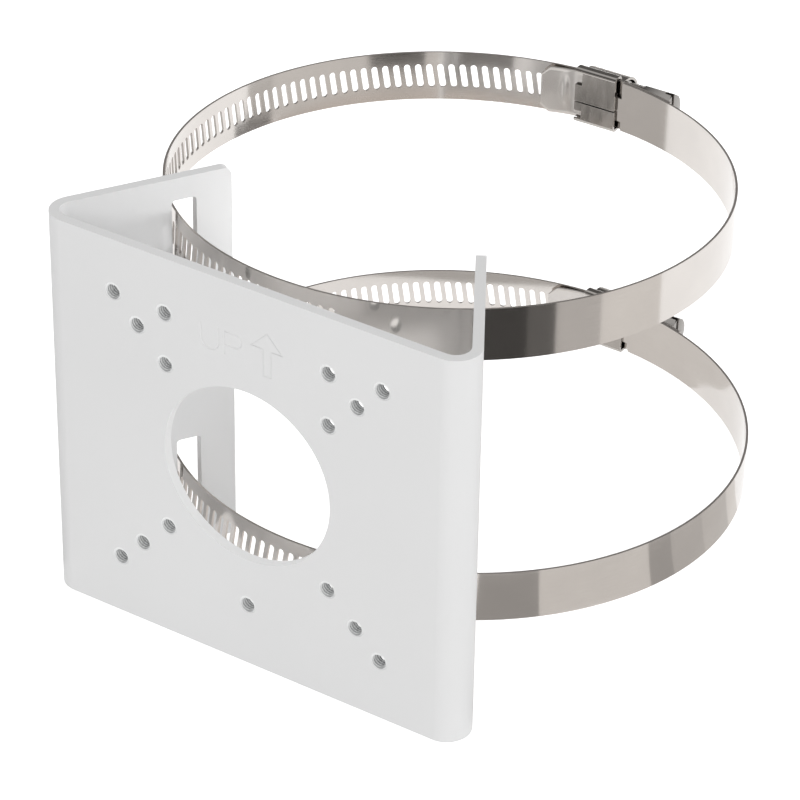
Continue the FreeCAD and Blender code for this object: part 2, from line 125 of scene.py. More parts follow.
# The matt coat is lit by the room, the camera sees pure white, and polished steel mirrors
# a pale floor line, the dark room above it and a soft box overhead.
room = tree.nodes.new("ShaderNodeBackground")
seen = tree.nodes.new("ShaderNodeBackground")
mirrored = tree.nodes.new("ShaderNodeBackground")
path = tree.nodes.new("ShaderNodeLightPath")
pick_glossy = tree.nodes.new("ShaderNodeMixShader")
pick_seen = tree.nodes.new("ShaderNodeMixShader")
either = tree.nodes.new("ShaderNodeMath")
either.operation = "MAXIMUM"
out = tree.nodes.new("ShaderNodeOutputWorld")
room.inputs["Color"].default_value = (1.0, 0.995, 0.99, 1)
room.inputs["Strength"].default_value = 0.68
seen.inputs["Color"].default_value = (1, 1, 1, 1)
seen.inputs["Strength"].default_value = 1.0
coord = tree.nodes.new("ShaderNodeTexCoord")
split = tree.nodes.new("ShaderNodeSeparateXYZ")
ramp = tree.nodes.new("ShaderNodeValToRGB")
lift = tree.nodes.new("ShaderNodeMapRange")
lift.inputs["From Min"].default_value = -1
lift.inputs["From Max"].default_value = 1
ramp.color_ramp.elements[0].position = 0.46
ramp.color_ramp.elements[0].color = (0.9, 0.88, 0.86, 1)
ramp.color_ramp.elements[1].position = 0.97
ramp.color_ramp.elements[1].color = (0.95, 0.95, 0.95, 1)
for place, grey in ((0.52, 0.3), (0.60, 0.7), (0.67, 0.14), (0.86, 0.12)):
    ramp.color_ramp.elements.new(place).color = (grey, 0.98 * grey, 0.96 * grey, 1)
tree.links.new(coord.outputs["Generated"], split.inputs["Vector"])
tree.links.new(split.outputs["Z"], lift.inputs["Value"])
tree.links.new(lift.outputs["Result"], ramp.inputs["Fac"])
tree.links.new(ramp.outputs["Color"], mirrored.inputs["Color"])
tree.links.new(path.outputs["Is Camera Ray"], either.inputs[0])
tree.links.new(path.outputs["Is Transmission Ray"], either.inputs[1])
tree.links.new(path.outputs["Is Glossy Ray"], pick_glossy.inputs["Fac"])
tree.links.new(room.outputs["Background"], pick_glossy.inputs[1])
tree.links.new(mirrored.outputs["Background"], pick_glossy.inputs[2])
tree.links.new(either.outputs["Value"], pick_seen.inputs["Fac"])
tree.links.new(pick_glossy.outputs["Shader"], pick_seen.inputs[1])
tree.links.new(seen.outputs["Background"], pick_seen.inputs[2])
tree.links.new(pick_seen.outputs["Shader"], out.inputs["Surface"])

# The floor glows a little of itself, differently to the camera, to steel and to the coat.
floor_half = 1.6
floor_gap = 0.2 * MM
camera_gain = 1.5
paper_glow = 0.42
paper_bounce = 0.22
floor_mesh = bpy.data.meshes.new("floor")
floor_mesh.from_pydata([(x * floor_half, y * floor_half, cad_low[2] - floor_gap)
                        for x, y in ((-1, -1), (1, -1), (1, 1), (-1, 1))], [], [(0, 1, 2, 3)])
floor = placed("floor", floor_mesh)
paper = bpy.data.materials.new("seamless_paper")
paper.use_nodes = True
tree = paper.node_tree
tree.nodes.clear()
matt = tree.nodes.new("ShaderNodeBsdfDiffuse")
matt.inputs["Color"].default_value = (0.86, 0.86, 0.86, 1)
glow = tree.nodes.new("ShaderNodeEmission")
path = tree.nodes.new("ShaderNodeLightPath")
either = tree.nodes.new("ShaderNodeMath")
either.operation = "MULTIPLY_ADD"
either.inputs[1].default_value = camera_gain
gain = tree.nodes.new("ShaderNodeMath")
gain.operation = "MULTIPLY_ADD"
gain.inputs[1].default_value = paper_glow
bounce = tree.nodes.new("ShaderNodeMath")
bounce.operation = "MULTIPLY"
bounce.inputs[1].default_value = paper_bounce
total = tree.nodes.new("ShaderNodeAddShader")
out = tree.nodes.new("ShaderNodeOutputMaterial")
tree.links.new(path.outputs["Is Camera Ray"], either.inputs[0])
tree.links.new(path.outputs["Is Glossy Ray"], either.inputs[2])
tree.links.new(either.outputs["Value"], gain.inputs[0])
tree.links.new(path.outputs["Is Diffuse Ray"], bounce.inputs[0])
tree.links.new(bounce.outputs["Value"], gain.inputs[2])
tree.links.new(gain.outputs["Value"], glow.inputs["Strength"])
tree.links.new(matt.outputs["BSDF"], total.inputs[0])
tree.links.new(glow.outputs["Emission"], total.inputs[1])
tree.links.new(total.outputs["Shader"], out.inputs["Surface"])
floor.data.materials.append(paper)


def painted_reflection_card(name, corners, grey, layer=0.5):
    """A glowing card that only polished steel sees, a painted reflection: the camera, diffuse light and
    shadows pass it by. Its corners are X and Y in mm, and lie just over the floor unless they have a
    height of their own. Where two cards overlap, the one on the higher layer, from 0 to 1, is seen."""
    low = cad_low[2] - floor_gap * (1 - layer)
    mesh = bpy.data.meshes.new(name)
    points = [(x * MM, y * MM, rest[0] * MM if rest else low) for x, y, *rest in corners]
    mesh.from_pydata(points, [], [tuple(range(len(points)))])
    card = placed(name, mesh)
    material = bpy.data.materials.new(name)
    material.use_nodes = True
    tree = material.node_tree
    tree.nodes.clear()
    glow = tree.nodes.new("ShaderNodeEmission")
    glow.inputs["Color"].default_value = (grey, 0.97 * grey, 0.94 * grey, 1)
    out = tree.nodes.new("ShaderNodeOutputMaterial")
    tree.links.new(glow.outputs["Emission"], out.inputs["Surface"])
    card.data.materials.append(material)
    card.visible_camera = False
    card.visible_diffuse = False
    card.visible_shadow = False
    card.visible_transmission = False


# Painted reflections beside the upper clamp's right side, from the front round to the back.
painted_reflection_card("upper_left", [(70, -123), (114, -105), (142, -86), (250, -216), (195, -250), (113, -284)], 0.8)
painted_reflection_card("upper_black", [(142, -86), (151, -76), (173, -51), (188, -25), (400, -134), (370, -190),
                     (330, -250), (290, -264)], 0.07)
painted_reflection_card("upper_dark", [(188, -25), (196, -7), (201, 9), (375, -38), (400, -134)], 0.145)
painted_reflection_card("upper_mid", [(201, 9), (207, 39), (207, 69), (360, 81), (362, 24), (375, -38)], 0.60)
painted_reflection_card("upper_pale", [(216, 70), (211, 103), (202, 132), (190, 156), (301, 234), (327, 192), (348, 139),
                    (360, 81)], 0.86)
# Painted reflections beside the lower clamp, the same way round.
painted_reflection_card("lower_grey", [(60, 20), (74, 35), (77, 39), (101, 27), (96, 18), (80, 0)], 0.40)
painted_reflection_card("lower_pale", [(77, 39), (84, 48), (89, 60), (91, 70), (91, 83), (114, 90), (115, 72), (113, 58),
                    (109, 44), (101, 27)], 0.78)
painted_reflection_card("lower_band_mark", [(91, 83), (90, 94), (112, 105), (114, 90)], 0.45)
painted_reflection_card("lower_mid", [(90, 94), (88, 112), (104, 128), (112, 105)], 0.58)
painted_reflection_card("lower_light", [(88, 112), (81, 128), (90, 146), (104, 128)], 0.66)
painted_reflection_card("lower_edge", [(81, 128), (76, 136), (82, 153), (90, 146)], 0.85)
# Painted reflections for the rings' inner faces: a greyer card standing for the floor close by, and dark
# and grey cards on it.
painted_reflection_card("near_floor", [(-25, -98), (60, -98), (118, -96), (150, -70), (172, -45), (187, -20), (195, 9),
                    (201, 40), (201, 70), (205, 102), (196, 130), (184, 154), (160, 190), (118, 222),
                    (92, 196), (106, 163), (116, 138), (121, 111), (123, 85), (119, 60), (110, 34),
                    (96, 12), (78, -8), (56, -22), (30, -32), (-25, -35)], 0.75, layer=0.25)
painted_reflection_card("under_pale", [(-40, 30), (60, 20), (85, 60), (75, 110), (50, 138), (20, 140), (0, 112),
                    (-40, 80)], 1.0, layer=0.25)
painted_reflection_card("back_dark", [(-6, 30, -19), (5, 30, -19), (19, 30, -20), (36, 30, -23), (36, 30, -13),
                   (19, 30, -9), (5, 30, -8), (-6, 30, -8)], 0.19)
painted_reflection_card("right_dark", [(117, -17), (131, 2), (139, 15), (147, 32), (151, 46), (172, 50), (176, 10),
                    (160, -16), (136, -38)], 0.05)
painted_reflection_card("under_mid", [(-24, 130), (-18, 130), (-18, 139), (-24, 139)], 0.5)
painted_reflection_card("left_grey", [(94, 178), (134, 196), (106, 230), (66, 206)], 0.62)
painted_reflection_card("left_dark", [(58, 223), (82, 206), (101, 187), (95, 181), (72, 198), (50, 214)], 0.15,
     layer=0.75)
# Painted reflections for the screw housings.
painted_reflection_card("beside_upper_housing", [(-204, 65), (-170, 80), (-153, 87), (-137, 93), (-110, 104), (-95, 40),
                              (-100, 8), (-130, -25), (-165, -20), (-195, 20)], 0.57)
painted_reflection_card("housing_high_flap", [(-130, -25), (-122, -19), (-86, -19), (-92, -60), (-128, -60)], 0.42)
painted_reflection_card("housing_low_flap", [(-122, -19), (-100, 8), (-70, 12), (-72, -19)], 0.22)
painted_reflection_card("beside_lower_housing", [(-16, 151), (-12, 152), (10, 165), (22, 168), (18, 174), (-6, 168),
                              (-14, 158)], 0.80)

# Mounting bracket.
# One blank of 2.8 mm sheet steel, punched, folded along two upright lines and powder
# coated pale grey. The coat is thick enough to round every sheared edge a little.
edge_round = 0.17 * MM
coat_colour = (0.80, 0.803, 0.806, 1)


def copied_solid(node, name):
    """A closed copy of a solid's loose triangles, with its flat areas made whole again."""
    mesh = nodes[node].data.copy()
    mesh.name = name
    shape = bmesh.new()
    shape.from_mesh(mesh)
    bmesh.ops.remove_doubles(shape, verts=shape.verts, dist=1e-6)
    bmesh.ops.dissolve_limit(shape, angle_limit=math.radians(0.3), verts=shape.verts, edges=shape.edges)
    shape.to_mesh(mesh)
    shape.free()
    mesh.materials.clear()
    return placed(name, mesh)


def placed_shape(name, shape):
    """An object from a finished shape, which is used up."""
    mesh = bpy.data.meshes.new(name)
    shape.to_mesh(mesh)
    shape.free()
    return placed(name, mesh)


def work_out(piece):
    """Turn the piece's modifiers into plain mesh."""
    graph = bpy.context.evaluated_depsgraph_get()
    mesh = bpy.data.meshes.new_from_object(piece.evaluated_get(graph), depsgraph=graph)
    piece.modifiers.clear()
    piece.data = mesh


def bake(piece, smooth_under=40):
    """Work the piece's modifiers out, and make it smooth but for its real edges."""
    work_out(piece)
    piece.data.polygons.foreach_set("use_smooth", [True] * len(piece.data.polygons))
    piece.data.set_sharp_from_angle(angle=math.radians(smooth_under))


def even_faces(piece):
    """Broad flat faces keep their own normals, and the narrow rounds take up the turn."""
    weigh = piece.modifiers.new("even_faces", "WEIGHTED_NORMAL")
    weigh.keep_sharp = True
    weigh.weight = 100
    work_out(piece)


def round_edges(piece, width, sharper_than):
    """Round the piece's edges that are sharper than an angle in degrees."""
    rounding = piece.modifiers.new("sheared_edges", "BEVEL")
    rounding.width = width
    rounding.segments = 2
    rounding.limit_method = "ANGLE"
    rounding.angle_limit = math.radians(sharper_than)


def cut_away(piece, cutter, keep="DIFFERENCE"):
    """Add an exact cut of the piece by another object. With INTERSECT the inside is kept."""
    cut = piece.modifiers.new(cutter.name, "BOOLEAN")
    cut.operation = keep
    cut.solver = "EXACT"
    cut.object = cutter
    return cut


def new_material(name):
    """A material with a principled shader, its node tree and that shader."""
    material = bpy.data.materials.new(name)
    material.use_nodes = True
    shader = material.node_tree.nodes["Principled BSDF"]
    return material, material.node_tree, shader


powder, tree, shader = new_material("powder_coat")
coord = tree.nodes.new("ShaderNodeTexCoord")
peel = tree.nodes.new("ShaderNodeTexNoise")
peel.inputs["Scale"].default_value = 900
peel.inputs["Detail"].default_value = 3
cloud = tree.nodes.new("ShaderNodeTexNoise")
cloud.inputs["Scale"].default_value = 14
tint = tree.nodes.new("ShaderNodeValToRGB")
tint.color_ramp.elements[0].position = 0.3
tint.color_ramp.elements[0].color = [0.97 * c for c in coat_colour[:3]] + [1]
tint.color_ramp.elements[1].position = 0.7
tint.color_ramp.elements[1].color = coat_colour
bump = tree.nodes.new("ShaderNodeBump")
bump.inputs["Strength"].default_value = 0.12
bump.inputs["Distance"].default_value = 0.05 * MM
tree.links.new(coord.outputs["Object"], peel.inputs["Vector"])
tree.links.new(coord.outputs["Object"], cloud.inputs["Vector"])
tree.links.new(cloud.outputs["Fac"], tint.inputs["Fac"])
tree.links.new(tint.outputs["Color"], shader.inputs["Base Color"])
tree.links.new(peel.outputs["Fac"], bump.inputs["Height"])
tree.links.new(bump.outputs["Normal"], shader.inputs["Normal"])
shader.inputs["Roughness"].default_value = 0.5
shader.inputs["Specular IOR Level"].default_value = 0.4

bracket = copied_solid("mounting_bracket", "coated_bracket")

# The tapped holes, in mm right of and above the cable hole, are opened to the screw's size.
narrow_half, middle_half, wide_half = 25.0, 33.6, 41.0
tapped_holes = [(x * half, z * half) for half in (narrow_half, middle_half, wide_half)
                for x in (-1, 1) for z in (-1, 1)]
tapped_holes += [(-narrow_half, 40.2), (narrow_half, 40.2), (0.0, -40.0)]
drilled_radius = 2.1
major_radius = 2.2
wall_tolerance = 0.05
for vertex in bracket.data.vertices:
    for x, z in tapped_holes:
        across = Vector((vertex.co.x - x * MM, 0, vertex.co.z - z * MM))
        if abs(across.length - drilled_radius * MM) < wall_tolerance * MM:
            vertex.co += across.normalized() * (major_radius - drilled_radius) * MM

round_edges(bracket, edge_round, 35)
bake(bracket)

# The word UP and an outlined arrow, cut into the face by a fine round tool before coating.
# Its strokes are in mm right of and above the cable hole.
mark_width = 0.7
mark_depth = 0.15
bow = [math.radians(a) for a in range(180, 361, 15)]
letter_u = [(-13.4, 41.7)]
letter_u += [(-10.75 + 2.65 * math.cos(a), 37.35 + 2.65 * math.sin(a)) for a in bow]
letter_u += [(-8.1, 41.7)]
loop = [math.radians(a) for a in range(90, -91, -15)]
letter_p = [(-6.3, 34.7), (-6.3, 41.5)]
letter_p += [(-3.1 + 1.95 * math.cos(a), 39.55 + 1.95 * math.sin(a)) for a in loop] + [(-6.0, 37.6)]
arrow = [(5.6, 32.6), (8.0, 32.6), (8.0, 40.3), (11.3, 40.3), (6.8, 45.2), (1.9, 40.4), (5.6, 40.4)]
strokes = (("letter_u", letter_u, False), ("letter_p", letter_p, False), ("arrow", arrow, True))
for name, stroke, closed in strokes:
    path = bpy.data.curves.new(name, "CURVE")
    path.dimensions = "3D"
    spline = path.splines.new("POLY")
    spline.points.add(len(stroke) - 1)
    for point, (x, z) in zip(spline.points, stroke):
        point.co = (x * MM, (mark_depth - mark_width / 2) * MM, z * MM, 1)
    spline.use_cyclic_u = closed
    path.bevel_depth = mark_width / 2 * MM
    path.bevel_resolution = 3
    path.use_fill_caps = True
    tool = placed(name, path)
    graph = bpy.context.evaluated_depsgraph_get()
    cutter = placed(name + "_tool", bpy.data.meshes.new_from_object(tool.evaluated_get(graph)))
    cut_away(bracket, cutter).use_self = True
    bake(bracket)
    bpy.data.objects.remove(tool)
    bpy.data.objects.remove(cutter)
even_faces(bracket)
bracket.data.materials.clear()
bracket.data.materials.append(powder)
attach(bracket, "bracket")
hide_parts("mounting_bracket")

# Tapped holes.
# Each small hole is drawn to a short collar at the back and tapped after coating, so that it
# shows bare metal in fine turns. One turned sleeve is laid in every hole.
thread_pitch = 0.8
minor_radius = 1.82
thread_front = 0.2
collar_radius = 2.6
collar_back = 3.5
chatter_share = 0.2
cut_metal, tree, shader = new_material("cut_thread")
depth = tree.nodes.new("ShaderNodeAttribute")
depth.attribute_name = "groove"
coord = tree.nodes.new("ShaderNodeTexCoord")
chatter = tree.nodes.new("ShaderNodeTexNoise")
chatter.inputs["Scale"].default_value = 1500
# Painted shade: the cut metal is light on the thread's crests and darker the deeper a point lies in the
# groove, with a little tool chatter noise mixed in.
groove_shade_and_chatter = tree.nodes.new("ShaderNodeMath")
groove_shade_and_chatter.operation = "MULTIPLY_ADD"
groove_shade_and_chatter.inputs[1].default_value = chatter_share
shade = tree.nodes.new("ShaderNodeValToRGB")
shade.color_ramp.elements[0].position = 0.25
shade.color_ramp.elements[0].color = (0.88, 0.89, 0.89, 1)
shade.color_ramp.elements[1].position = 0.85
shade.color_ramp.elements[1].color = (0.46, 0.47, 0.475, 1)
tree.links.new(coord.outputs["Object"], chatter.inputs["Vector"])
tree.links.new(chatter.outputs["Fac"], groove_shade_and_chatter.inputs[0])
tree.links.new(depth.outputs["Fac"], groove_shade_and_chatter.inputs[2])
tree.links.new(groove_shade_and_chatter.outputs["Value"], shade.inputs["Fac"])
tree.links.new(shade.outputs["Color"], shader.inputs["Base Color"])
shader.inputs["Roughness"].default_value = 0.42
shader.inputs["Metallic"].default_value = 0.3


def thread_sleeve(around=24, per_turn=8):
    """One tapped hole's wall, with its thread wound as a helix, as a closed sleeve. The mesh keeps how
    deep in the groove each point lies, for the painted shade that darkens the metal there."""
    shape = bmesh.new()
    groove = shape.verts.layers.float.new("groove")
    reach = collar_back - thread_front
    steps = round(reach / thread_pitch * per_turn)
    rings = []
    for i in range(steps + 1):
        y = thread_front + reach * i / steps
        ring = []
        for k in range(around):
            angle = 2 * math.pi * k / around
            phase = (y / thread_pitch - k / around) % 1
            depth = 1 - 2 * abs(phase - 0.5)
            radius = minor_radius + (major_radius - minor_radius) * depth
            point = shape.verts.new((radius * math.cos(angle) * MM, y * MM, radius * math.sin(angle) * MM))
            point[groove] = depth
            ring.append(point)
        rings.append(ring)
    for y in (collar_back, thread_front):
        ring = []
        for k in range(around):
            angle = 2 * math.pi * k / around
            ring.append(shape.verts.new((collar_radius * math.cos(angle) * MM, y * MM,
                                         collar_radius * math.sin(angle) * MM)))
        rings.append(ring)
    for i, ring in enumerate(rings):
        following = rings[(i + 1) % len(rings)]
        for k in range(around):
            j = (k + 1) % around
            shape.faces.new((ring[k], ring[j], following[j], following[k]))
    bmesh.ops.recalc_face_normals(shape, faces=shape.faces)
    sleeve = placed_shape("thread_sleeve", shape)
    sleeve.data.polygons.foreach_set("use_smooth", [True] * len(sleeve.data.polygons))
    return sleeve


def set_input(modifier, label, value):
    """Set one named input of a Geometry Nodes modifier."""
    for item in modifier.node_group.interface.items_tree:
        if item.name == label and item.in_out == "INPUT":
            modifier[item.identifier] = value


group = bpy.data.node_groups.new("sleeves_in_holes", "GeometryNodeTree")
group.interface.new_socket("Places", in_out="INPUT", socket_type="NodeSocketGeometry")
group.interface.new_socket("Sleeve", in_out="INPUT", socket_type="NodeSocketObject")
group.interface.new_socket("Metal", in_out="INPUT", socket_type="NodeSocketMaterial")
group.interface.new_socket("Sleeves", in_out="OUTPUT", socket_type="NodeSocketGeometry")
given = group.nodes.new("NodeGroupInput")
result = group.nodes.new("NodeGroupOutput")
info = group.nodes.new("GeometryNodeObjectInfo")
laid = group.nodes.new("GeometryNodeInstanceOnPoints")
real = group.nodes.new("GeometryNodeRealizeInstances")
metal = group.nodes.new("GeometryNodeSetMaterial")
group.links.new(given.outputs["Places"], laid.inputs["Points"])
group.links.new(given.outputs["Sleeve"], info.inputs["Object"])
group.links.new(info.outputs["Geometry"], laid.inputs["Instance"])
group.links.new(laid.outputs["Instances"], real.inputs["Geometry"])
group.links.new(real.outputs["Geometry"], metal.inputs["Geometry"])
group.links.new(given.outputs["Metal"], metal.inputs["Material"])
group.links.new(metal.outputs["Geometry"], result.inputs["Sleeves"])

places = bpy.data.meshes.new("tapped_threads")
places.from_pydata([(x * MM, 0, z * MM) for x, z in tapped_holes], [], [])
threads = placed("tapped_threads", places)
sleeve = thread_sleeve()
lay = threads.modifiers.new("threads", "NODES")
lay.node_group = group
set_input(lay, "Sleeve", sleeve)
set_input(lay, "Metal", cut_metal)
bake(threads, 60)
bpy.data.objects.remove(sleeve)
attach(threads, "bracket")

# Clamp bands.
# Each band is one strip of bright rolled spring steel, 14.5 mm wide. Leaning holes are
# punched along one half for the worm to run in; the other half is plain and ends in a neck.
band_width = 14.5
band_thick = 0.65
lap_gap = 0.15
hole_pitch = 3.175
hole_length = 7.2
hole_width = 1.8
hole_lean = math.radians(9.5)
band_radius = {"upper": 76.4, "lower": 81.2}
neck_length = 4.0

# Bearings round the ring are in degrees from the screw's direction. The punched arc runs
# from tail_end to junction. The plain arc goes on from there, and comes to lie one lap
# inside the punched one at lap_bearing, under the housing.
first_hole = {"upper": 72.6, "lower": 73.1}
last_hole = 281.0
tail_end = 70.5
plain_end = 90.8
junction = 285.0
lap_bearing = 90.0
neck_middle = 85.2
plain_step = 2.5

# How much of the steel's tint follows its streaks and not its smudges, and how squarely a
# face has to look along the ring's radius to count as one of the strip's broad faces.
streak_share = 0.5
broad_facing = 0.9

# Heights across the band at which neighbouring tiles of the strip meet, and the spaces
# between them that the narrower neck fills.
rungs = [-band_width / 2, -4.6, -3.1, -1.5, 0.0, 1.3, 2.4, 4.6, band_width / 2]
neck_spaces = range(1, 6)


def strip_tile(name, kind):
    """One pitch of the flat strip: one unit long in X, millimetres in Z."""
    shape = bmesh.new()
    if kind == "hole":
        rim = [(0.5, z) for z in rungs] + [(0, rungs[-1])]
        rim += [(-0.5, z) for z in reversed(rungs)] + [(0, rungs[0])]
        side = hole_width / 2
        straight = hole_length / 2 - side

        def round_end(middle, degrees):
            angles = [math.radians(a) for a in degrees]
            return [(side * math.cos(a), middle + side * math.sin(a)) for a in angles]

        hole = round_end(-straight, (-60, -30))
        hole += [(side, straight * k) for k in (-1, -0.5, 0, 0.5, 1)]
        hole += round_end(straight, (30, 60, 90, 120, 150))
        hole += [(-side, -straight * k) for k in (-1, -0.5, 0, 0.5, 1)]
        hole += round_end(-straight, (210, 240, 270))
        turned = []
        for across, along in hole:
            x = across * math.cos(hole_lean) + along * math.sin(hole_lean)
            z = along * math.cos(hole_lean) - across * math.sin(hole_lean)
            turned.append((x / hole_pitch, z))
        outer = [shape.verts.new((x, 0, z)) for x, z in rim]
        inner = [shape.verts.new((x, 0, z)) for x, z in turned]
        for i in range(len(outer)):
            j = (i + 1) % len(outer)
            shape.faces.new((outer[i], outer[j], inner[j], inner[i]))
    else:
        for i in neck_spaces if kind == "neck" else range(len(rungs) - 1):
            low, high = rungs[i], rungs[i + 1]
            corners = [(-0.5, low), (0.5, low), (0.5, high), (-0.5, high)]
            shape.faces.new([shape.verts.new((x, 0, z)) for x, z in corners])
        bmesh.ops.remove_doubles(shape, verts=shape.verts, dist=1e-5)
    return placed_shape(name, shape)


def band_tree():
    """Node tree that lays tiles end to end, wraps them round an arc and joins them to the
    strip that is already there."""
    group = bpy.data.node_groups.new("wrapped_strip", "GeometryNodeTree")
    face = group.interface
    face.new_socket("Geometry", in_out="INPUT", socket_type="NodeSocketGeometry")
    for label, kind in (("Tile", "Object"), ("Count", "Int"), ("First Bearing", "Float"),
                        ("Step", "Float"), ("Radius", "Float"), ("Centre", "Vector"),
                        ("Steel", "Material")):
        face.new_socket(label, in_out="INPUT", socket_type="NodeSocket" + kind)
    face.new_socket("Geometry", in_out="OUTPUT", socket_type="NodeSocketGeometry")
    add = group.nodes.new
    link = group.links.new
    given = add("NodeGroupInput")
    result = add("NodeGroupOutput")
    line = add("GeometryNodeMeshLine")
    line.inputs["Offset"].default_value = (1, 0, 0)
    link(given.outputs["Count"], line.inputs["Count"])
    tile = add("GeometryNodeObjectInfo")
    tile.inputs["As Instance"].default_value = True
    link(given.outputs["Tile"], tile.inputs["Object"])
    laid = add("GeometryNodeInstanceOnPoints")
    link(line.outputs["Mesh"], laid.inputs["Points"])
    link(tile.outputs["Geometry"], laid.inputs["Instance"])
    real = add("GeometryNodeRealizeInstances")
    link(laid.outputs["Instances"], real.inputs["Geometry"])
    place = add("GeometryNodeInputPosition")
    split = add("ShaderNodeSeparateXYZ")
    link(place.outputs["Position"], split.inputs["Vector"])
    angle = add("ShaderNodeMath")
    angle.operation = "MULTIPLY_ADD"
    link(split.outputs["X"], angle.inputs[0])
    link(given.outputs["Step"], angle.inputs[1])
    link(given.outputs["First Bearing"], angle.inputs[2])
    across = add("ShaderNodeMath")
    across.operation = "COSINE"
    along = add("ShaderNodeMath")
    along.operation = "SINE"
    spoke = add("ShaderNodeCombineXYZ")
    link(angle.outputs["Value"], across.inputs[0])
    link(angle.outputs["Value"], along.inputs[0])
    link(across.outputs["Value"], spoke.inputs["X"])
    link(along.outputs["Value"], spoke.inputs["Y"])
    scaled = add("ShaderNodeVectorMath")
    scaled.operation = "SCALE"
    link(spoke.outputs["Vector"], scaled.inputs[0])
    link(given.outputs["Radius"], scaled.inputs["Scale"])
    rise = add("ShaderNodeCombineXYZ")
    link(split.outputs["Z"], rise.inputs["Z"])
    moved = add("ShaderNodeVectorMath")
    moved.operation = "ADD"
    link(scaled.outputs["Vector"], moved.inputs[0])
    link(rise.outputs["Vector"], moved.inputs[1])
    centred = add("ShaderNodeVectorMath")
    centred.operation = "ADD"
    link(moved.outputs["Vector"], centred.inputs[0])
    link(given.outputs["Centre"], centred.inputs[1])
    # A flat map of the strip for the rolled grain: length along the band, then height.
    length = add("ShaderNodeMath")
    length.operation = "MULTIPLY"
    link(angle.outputs["Value"], length.inputs[0])
    link(given.outputs["Radius"], length.inputs[1])
    flat = add("ShaderNodeCombineXYZ")
    link(length.outputs["Value"], flat.inputs["X"])
    link(split.outputs["Z"], flat.inputs["Y"])
    store = add("GeometryNodeStoreNamedAttribute")
    store.data_type = "FLOAT2"
    store.domain = "CORNER"
    store.inputs["Name"].default_value = "strip_map"
    link(real.outputs["Geometry"], store.inputs["Geometry"])
    link(flat.outputs["Vector"], store.inputs["Value"])
    wrap = add("GeometryNodeSetPosition")
    link(store.outputs["Geometry"], wrap.inputs["Geometry"])
    link(centred.outputs["Vector"], wrap.inputs["Position"])
    steel = add("GeometryNodeSetMaterial")
    link(wrap.outputs["Geometry"], steel.inputs["Geometry"])
    link(given.outputs["Steel"], steel.inputs["Material"])
    both = add("GeometryNodeJoinGeometry")
    link(steel.outputs["Geometry"], both.inputs["Geometry"])
    link(given.outputs["Geometry"], both.inputs["Geometry"])
    weld = add("GeometryNodeMergeByDistance")
    weld.inputs["Distance"].default_value = 0.02
    link(both.outputs["Geometry"], weld.inputs["Geometry"])
    link(weld.outputs["Geometry"], result.inputs["Geometry"])
    return group


def steel_finish(name, colour, rough, along=(0.02, 2.2, 1.0), map_name=None, grain=0.02, mottle=80):
    """Bright steel: fine streaks that along stretches, a few smudges, soft gloss. With the
    name of a map the pattern follows the strip, and otherwise the object's own axes."""
    material, tree, shader = new_material(name)
    if map_name:
        coord = tree.nodes.new("ShaderNodeUVMap")
        coord.uv_map = map_name
        source = coord.outputs["UV"]
    else:
        coord = tree.nodes.new("ShaderNodeTexCoord")
        source = coord.outputs["Object"]
    stretch = tree.nodes.new("ShaderNodeMapping")
    stretch.inputs["Scale"].default_value = along
    streaks = tree.nodes.new("ShaderNodeTexNoise")
    streaks.inputs["Scale"].default_value = 6
    streaks.inputs["Detail"].default_value = 4
    smudge = tree.nodes.new("ShaderNodeTexNoise")
    smudge.inputs["Scale"].default_value = mottle
    tree.links.new(source, stretch.inputs["Vector"])
    tree.links.new(stretch.outputs["Vector"], streaks.inputs["Vector"])
    tree.links.new(source, smudge.inputs["Vector"])
    gloss = tree.nodes.new("ShaderNodeMapRange")
    gloss.inputs["From Min"].default_value = 0.3
    gloss.inputs["From Max"].default_value = 0.7
    gloss.inputs["To Min"].default_value = 0.75 * rough
    gloss.inputs["To Max"].default_value = 1.35 * rough
    tree.links.new(streaks.outputs["Fac"], gloss.inputs["Value"])
    tree.links.new(gloss.outputs["Result"], shader.inputs["Roughness"])
    tint = tree.nodes.new("ShaderNodeValToRGB")
    tint.color_ramp.elements[0].position = 0.35
    tint.color_ramp.elements[0].color = [0.93 * c for c in colour] + [1]
    tint.color_ramp.elements[1].position = 0.65
    tint.color_ramp.elements[1].color = list(colour) + [1]
    blend = tree.nodes.new("ShaderNodeMath")
    blend.operation = "MULTIPLY_ADD"
    blend.inputs[1].default_value = streak_share
    half = tree.nodes.new("ShaderNodeMath")
    half.operation = "MULTIPLY"
    half.inputs[1].default_value = 1 - streak_share
    tree.links.new(smudge.outputs["Fac"], half.inputs[0])
    tree.links.new(streaks.outputs["Fac"], blend.inputs[0])
    tree.links.new(half.outputs["Value"], blend.inputs[2])
    tree.links.new(blend.outputs["Value"], tint.inputs["Fac"])
    tree.links.new(tint.outputs["Color"], shader.inputs["Base Color"])
    bump = tree.nodes.new("ShaderNodeBump")
    bump.inputs["Strength"].default_value = grain
    bump.inputs["Distance"].default_value = 0.02 * MM
    tree.links.new(streaks.outputs["Fac"], bump.inputs["Height"])
    tree.links.new(bump.outputs["Normal"], shader.inputs["Normal"])
    shader.inputs["Metallic"].default_value = 1.0
    return material


rolled = steel_finish("rolled_spring_steel", (0.70, 0.665, 0.635), 0.09, map_name="strip_map",
                      mottle=0.08)
sheared = steel_finish("sheared_edge", (0.62, 0.58, 0.55), 0.4, along=(900, 900, 300))
wrapped_strip = band_tree()
tiles = {kind: strip_tile(kind + "_tile", kind) for kind in ("hole", "plain", "neck")}


def ring_place(side):
    """The transform from a clamp's own millimetres to its place: Z is the ring's axis, and X
    the direction of its screw."""
    joint = joints[side + "_clamp_slide_round"]
    axis = Vector(joint["axis"])
    along = Vector(joints[side + "_screw_turn"]["axis"])
    turn = Matrix((along, axis.cross(along), axis)).transposed()
    return Matrix.Translation(joint["pos_m"]) @ turn.to_4x4() @ Matrix.Scale(MM, 4)


